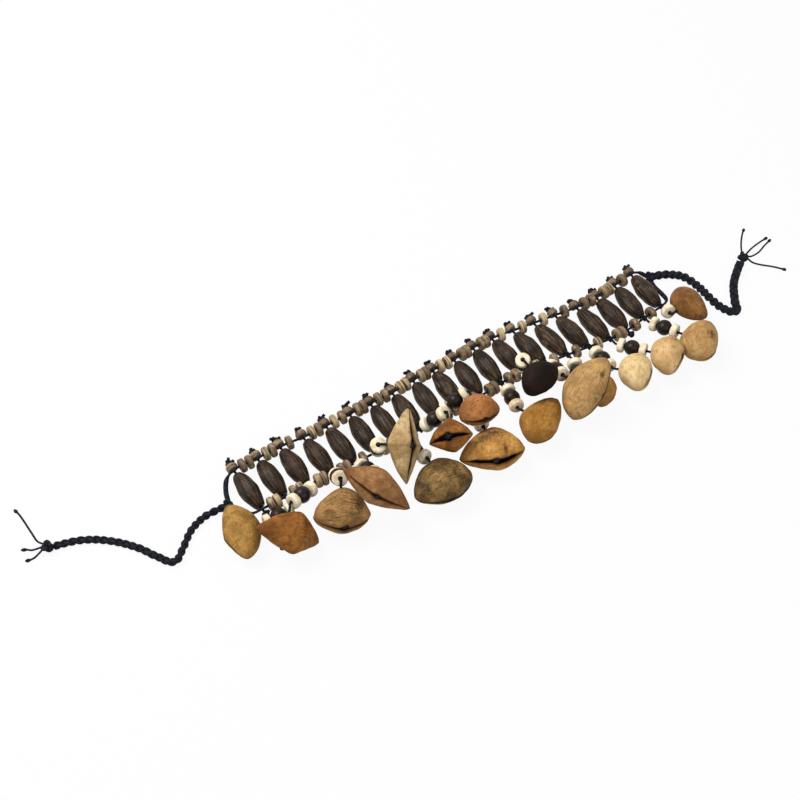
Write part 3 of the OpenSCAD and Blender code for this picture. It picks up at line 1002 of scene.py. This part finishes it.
class ANKLET_OT_rung_cords(bpy.types.Operator):
    """Threads the cords through the rungs and knots them above the caps"""

    bl_idname = "anklet.rung_cords"
    bl_label = "Rung cords"

    def execute(self, context):
        size = cords()
        dressed = {row[0] for row in SHELLS}
        chance = random.Random(KNOT_SEED)
        for name, (first, last) in LINKS.items():
            bm = bmesh.new()
            for i in range(first, last + 1):
                along = rung_along(i)
                above = rail_half() + size.cord_d / 2 + 2 * size.play + band().cap_t
                below = band().rung_l / 2 - size.cord_d / 2
                if i not in dressed:
                    below = rail_half() + size.cord_d / 2 + size.play
                    self.knot(bm, rung_middle(i) - along * (below + size.knot_d / 2), chance)
                ends = [rung_middle(i) - along * below, rung_middle(i) + along * above]
                sweep(bm, [ends[0], (ends[0] + ends[1]) / 2, ends[1]], size.cord_d / 2)
                self.knot(bm, rung_middle(i) + along * (above + size.knot_d * 0.4), chance)
            cord_piece("rung_knots_" + name, bm, "link_" + name, ["rung_cords_" + name])
        return {"FINISHED"}

    def knot(self, bm, middle, chance):
        """A tied knot whose two cut ends stand out."""
        tails = []
        for k in range(2):
            turn = chance.uniform(0, math.pi) + math.pi * k
            out = Vector((math.cos(turn), 0.5 * math.sin(turn), chance.uniform(0.3, 1)))
            tails.append(KNOT_TAIL * out)
        size = cords().knot_d * 1.1
        overhand(bm, middle, size=size, thick=1.5 * MM, turn=chance.uniform(0, 6), tails=tails)


class ANKLET_OT_drops(bpy.types.Operator):
    """Threads each drop: its cord looped round the lower rail, its pale discs and its dark bead"""

    bl_idname = "anklet.drops"
    bl_label = "Drops"

    def execute(self, context):
        for k in range(len(SHELLS)):
            row = nut(k)
            at = drop_places(row)
            self.cord(row, at)
            self.beads(row, at)
        return {"FINISHED"}

    def cord(self, row, at):
        size = cords()
        over = rail_along(row.rung, -1).cross(at.out)
        loop_r = size.cord_d + size.play
        points = []
        for degrees in range(-300, 0, 30):
            turn = math.radians(degrees)
            points.append(at.root + loop_r * (math.cos(turn) * at.out + math.sin(turn) * over))
        points.append(at.root + (loop_r + size.cord_d / 2) * at.out)
        inward = (at.knot - at.back).normalized()
        if row.sideways:
            self.still_loop(row, points)
            points = [at.root, points[-1]]
        points += [at.corner, at.foot, at.turn, at.back, at.knot - size.knot_d / 2 * inward]
        bm = bmesh.new()
        sweep(bm, smooth_route(points, CORD_STEP), size.cord_d / 2)
        aside = inward.orthogonal() * 1.2 * MM
        overhand(
            bm, at.knot - 0.3 * MM * inward, size=size.knot_d * 0.95, thick=1.3 * MM, turn=1.0,
            tails=(aside, -aside))
        cord_piece("drop_cord_" + row.number, bm, row.body, ["drop_" + row.number])

    def still_loop(self, row, points):
        """The loop of a drop that turns about its own first stretch, so that it stays on the rail."""
        bm = bmesh.new()
        sweep(bm, smooth_route(points, CORD_STEP), cords().cord_d / 2)
        cord_piece("drop_loop_" + row.number, bm, "link_" + link_of(row.rung))

    def beads(self, row, at):
        cord, size = cords(), drops()
        profile = disc_profile(size.disc_d, size.disc_t, cord.bore_d)
        heights = [cord.cord_d / 2]
        after = cord.cord_d / 2 + size.disc_t + cord.play
        if row.beads == 3:
            heights.append(after + size.bead_d + cord.play)
            bm = bmesh.new()
            turned(bm, self.ball(), facing(at.corner + after * at.way, at.way), row.seed)
            new_piece("drop_bead_" + row.number, bm, [dark_bead()], row.body)
        bm = bmesh.new()
        for k, height in enumerate(heights):
            place = facing(at.corner + height * at.way, at.way)
            turned(bm, profile, place, row.seed + 40 * k, hand=0.16 * MM)
        new_piece("drop_discs_" + row.number, bm, [ivory_disc()], row.body)

    def ball(self):
        """Profile of a drilled round bead, standing on its lower pole."""
        r = drops().bead_d / 2
        start = math.asin(cords().bore_d / 2 / r)
        steps = 14
        angles = [start + (math.pi - 2 * start) * k / steps for k in range(steps + 1)]
        return [(r * math.sin(a), r - r * math.cos(a)) for a in angles]


class ANKLET_OT_rungs(bpy.types.Operator):
    """Turns the wooden rung beads of each link"""

    bl_idname = "anklet.rungs"
    bl_label = "Rung beads"

    def execute(self, context):
        for name, (first, last) in LINKS.items():
            bm = bmesh.new()
            tone = bm.verts.layers.float.new("tone")
            for i in range(first, last + 1):
                place = facing(rung_middle(i), rung_along(i))
                made = turned(
                    bm, self.barrel(), place, i + 1, segments=48, hand=0.3 * MM, flutes=0.035)
                for vert in made:
                    vert[tone] = STREAKED if i in STREAKED_RUNGS else PLAIN
            new_piece(
                "rung_wood_" + name, bm, [rung_wood()], "link_" + name,
                ["rung_beads_" + name])
        return {"FINISHED"}

    def barrel(self):
        """Profile of a rung bead, drilled along its middle, with worn edges at its ends."""
        size = band()
        half = size.rung_l / 2
        bulge = (size.rung_d - size.rung_end_d) / 2
        steps = 9
        edge = 0.35 * MM
        outline = []
        for k in range(-steps, steps + 1):
            t = k / steps
            outline.append((size.rung_d / 2 - bulge * t * t, t * (half - edge)))
        bore = cords().bore_d / 2
        end = size.rung_end_d / 2 - edge
        return [(bore, -half), (end, -half), *outline, (end, half), (bore, half)]


class ANKLET_OT_rail_discs(bpy.types.Operator):
    """Sets the coconut discs on both rails and the caps above the rungs"""

    bl_idname = "anklet.rail_discs"
    bl_label = "Rail discs"

    def execute(self, context):
        self.chance = random.Random(DISC_SEED)
        for name, (first, last) in LINKS.items():
            bm = bmesh.new()
            self.tone = bm.verts.layers.float.new("tone")
            for i in range(first, last + 1):
                self.cap(bm, i)
                for side in (-1, 1):
                    if i > 0:
                        self.disc(bm, i, side, -1)
                    if i < RUNG_COUNT - 1:
                        self.disc(bm, i, side, 1)
            new_piece(
                "coconut_discs_" + name, bm, [coconut_disc()], "link_" + name,
                ["rail_discs_" + name])
        return {"FINISHED"}

    def cap(self, bm, i):
        size = band()
        slope = abs(rail_along(i, 1).dot(rung_along(i)))
        past = rail_half() + cords().cord_d / 2 + cords().play + size.cap_d / 2 * slope
        profile = disc_profile(size.cap_d, size.cap_t, cords().bore_d)
        self.set(bm, profile, rung_middle(i) + past * rung_along(i), rung_along(i), 0.35)

    def disc(self, bm, i, side, step):
        size = band()
        here = rail_point(i, side)
        gap = rail_point(i + step, side) - here
        along = gap.normalized()
        seat = disc_seat(i, along)
        room = gap.length - seat - disc_seat(i + step, along)
        if room > 2 * size.disc_t + cords().play or (step > 0 and room > size.disc_t):
            profile = disc_profile(size.disc_d, size.disc_t, cords().bore_d)
            self.set(bm, profile, here + seat * along, along, 1)

    def set(self, bm, profile, place, along, palest):
        seed = self.chance.randint(1, 90)
        tone = self.chance.random() ** 2 * palest
        for vert in turned(bm, profile, facing(place, along), seed, segments=24, hand=0.2 * MM):
            vert[self.tone] = tone


class ANKLET_OT_shells(bpy.types.Operator):
    """Grows the hollow nut shells, each with its slit, cross ridge and drilled notch"""

    bl_idname = "anklet.shells"
    bl_label = "Nut shells"

    def execute(self, context):
        for k in range(len(SHELLS)):
            self.shell(nut(k))
        return {"FINISHED"}

    def shell(self, row):
        bm = bmesh.new()
        uv = bm.loops.layers.uv.verify()
        layers = [bm.verts.layers.float.new(name) for name in ("lip", "crease", "tip", "mark")]
        along, round_it = SHELL_GRID
        grid = bmesh.ops.create_grid(bm, x_segments=along, y_segments=round_it, size=1)["verts"]
        girth = (row.depth + row.thick) / 2 * math.pi / 2
        for face in bm.faces:
            for loop in face.loops:
                loop[uv].uv = (loop.vert.co.x * row.length / 2, loop.vert.co.y * girth)
        for vert in grid:
            self.bend(vert, row, layers)
        bmesh.ops.remove_doubles(bm, verts=bm.verts, dist=MERGE)
        bmesh.ops.recalc_face_normals(bm, faces=bm.faces)
        rough(bm, bm.verts, *LUMPS, row.seed)
        rough(bm, bm.verts, *PITS, row.seed + 30)
        place = Matrix.Translation(drop_places(row).back) @ shell_turn(row)
        bmesh.ops.transform(bm, matrix=place, verts=bm.verts)
        piece = new_piece(
            "nut_shell_" + row.number, bm, [nut_shell(row), shell_inside()], row.body,
            ["shell_" + row.number], sharp=180)
        wall = piece.modifiers.new("wall", "SOLIDIFY")
        wall.thickness = drops().wall
        wall.offset = -1
        wall.material_offset = 1
        soft = piece.modifiers.new("soft", "SUBSURF")
        soft.levels = soft.render_levels = 1

    def bend(self, vert, row, layers):
        """Moves one grid point to the shell: X along it and Y round it from lip to lip."""
        x, y = vert.co.xy
        u = math.sin(math.pi / 2 * x)
        t = (u - row.ridge) / (1 - row.ridge if u > row.ridge else 1 + row.ridge)
        width = self.width(row, t)
        half_t = row.thick / 2 * width
        open_share = max(0, 1 - (abs(t) / SLIT_REACH) ** 4)
        gap = self.gap(row, u, t, y, open_share)
        slit = math.asin(min(0.9, gap / max(half_t, 0.1 * MM))) if open_share else 0
        angle = slit + (2 * math.pi - 2 * slit) * (y + 1) / 2
        around = angle + math.radians(row.turn)
        lean = 0.10 * row.depth * abs(t) ** 2.5
        across = -row.depth / 2 - lean - row.depth / 2 * width * math.cos(around)
        pinch = 1 - 0.12 * ((1 + math.cos(angle)) / 2) ** 2
        lip = max(0, (abs(y) - 0.92) / 0.08) ** 2 * (0.3 + 0.7 * open_share)
        crease = max(0, 1.6 - row.round) * math.exp(-((t / 0.03) ** 2))
        for layer, value in zip(layers, (lip, crease, abs(t) ** 8, self.mark(row, x, y))):
            vert[layer] = value
        vert.co = (u * row.length / 2, across, half_t * pinch * math.sin(around))

    def width(self, row, t):
        """Share of a shell's full width at a place between its crest, 0, and its tips, -1 and 1."""
        swell = max(0, 1 - abs(t) ** row.round) ** (1.1 - 0.24 * row.round)
        return 0.94 * swell + 0.06 * max(0, 1 - abs(t) ** 8)

    def gap(self, row, u, t, y, open_share):
        """Half of the slit's width: wavy lips, and the drilled notch at its middle."""
        wave = 0.8 + 0.5 * noise.noise(Vector((t * 4, row.seed * 2.7, 0)))
        wave += 0.3 * noise.noise(Vector((t * 12, row.seed * 1.9, y)))
        notch = u * row.length / 2 / NOTCH_WIDE
        return drops().slit_w / 2 * row.gape * open_share * wave + NOTCH_DEEP * math.exp(-notch * notch)

    def mark(self, row, x, y):
        """Depth of the char at a place along and round a shell."""
        total = 0
        for along, round_it, reach, spread, depth in row.marks:
            total += depth * math.exp(-(((x - along) / reach) ** 2) - ((y - round_it) / spread) ** 2)
        return total


class ANKLET_PT_parts(bpy.types.Panel):
    """Lists the anklet's sizes and the steps that build it"""

    bl_idname = "ANKLET_PT_parts"
    bl_label = "Seed rattle anklet"
    bl_space_type = "VIEW_3D"
    bl_region_type = "UI"
    bl_category = "Anklet"

    def draw(self, context):
        for group in SETTINGS:
            box = self.layout.box()
            settings = getattr(context.scene, group)
            for name in settings.__annotations__:
                box.prop(settings, name)
        for step in STEPS:
            self.layout.operator(step.bl_idname)


SETTINGS = {
    "anklet_band": BandSizes,
    "anklet_drops": DropSizes,
    "anklet_cords": CordSizes,
    "anklet_finishes": Finishes,
    "anklet_stage": StageSizes,
}
STEPS = (
    ANKLET_OT_stage,
    ANKLET_OT_ties,
    ANKLET_OT_rails,
    ANKLET_OT_rung_cords,
    ANKLET_OT_drops,
    ANKLET_OT_rungs,
    ANKLET_OT_rail_discs,
    ANKLET_OT_shells,
)


def register():
    for kind in (*SETTINGS.values(), *STEPS, ANKLET_PT_parts):
        bpy.utils.register_class(kind)
    for name, kind in SETTINGS.items():
        setattr(bpy.types.Scene, name, PointerProperty(type=kind))


def unregister():
    for name in SETTINGS:
        delattr(bpy.types.Scene, name)
    for kind in (ANKLET_PT_parts, *reversed(STEPS), *reversed(SETTINGS.values())):
        bpy.utils.unregister_class(kind)


def main():
    """Builds the anklet."""
    register()
    bpy.ops.anklet.stage()
    bpy.ops.anklet.ties()
    bpy.ops.anklet.rails()
    bpy.ops.anklet.rung_cords()
    bpy.ops.anklet.drops()
    bpy.ops.anklet.rungs()
    bpy.ops.anklet.rail_discs()
    bpy.ops.anklet.shells()


if __name__ == "__main__":
    main()
